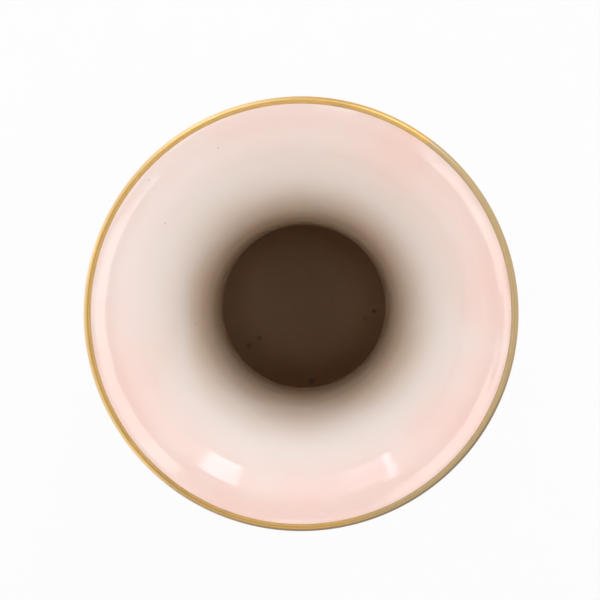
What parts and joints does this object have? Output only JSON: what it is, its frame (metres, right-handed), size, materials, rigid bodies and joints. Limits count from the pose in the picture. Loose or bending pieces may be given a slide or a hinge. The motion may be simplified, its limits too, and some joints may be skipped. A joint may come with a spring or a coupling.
{
  "type": "vase",
  "caption": "Porcelain baluster vase with a wide trumpet mouth, a narrow throat, a hollow ovoid body and a spreading foot, with a gilded lip and rings.",
  "frame": {"origin": "centre of the foot, on the plane that the vase stands on", "axes": "+Z is the vase's axis and points up out of the mouth. The vase is round, so +X and +Y have no special meaning"},
  "size_m": [0.142, 0.142, 0.305],
  "materials": {
    "glaze": "clear glossy glaze over white porcelain, blushed pink at the lip and ivory elsewhere",
    "biscuit": "unglazed, ground smooth",
    "slip": "fired slip, glazed over where it shows",
    "gilding": "fired gold, softly burnished"
  },
  "bodies": {
    "root": {"foot_rim": "biscuit", "pedestal_foot": "glaze", "foot_gilt_band": "gilding", "foot_lute": "slip", "waist_ring": "gilding", "body_cup": "glaze", "belly_lute": "slip", "shoulder_shell": "glaze", "shoulder_gilt_line": "gilding", "shoulder_lute": "slip", "neck_ring": "gilding", "neck_tube": "glaze", "neck_gilt_line": "gilding", "neck_lute": "slip", "trumpet_mouth": "glaze", "gilt_lip": "gilding"}
  },
  "joints": []
}
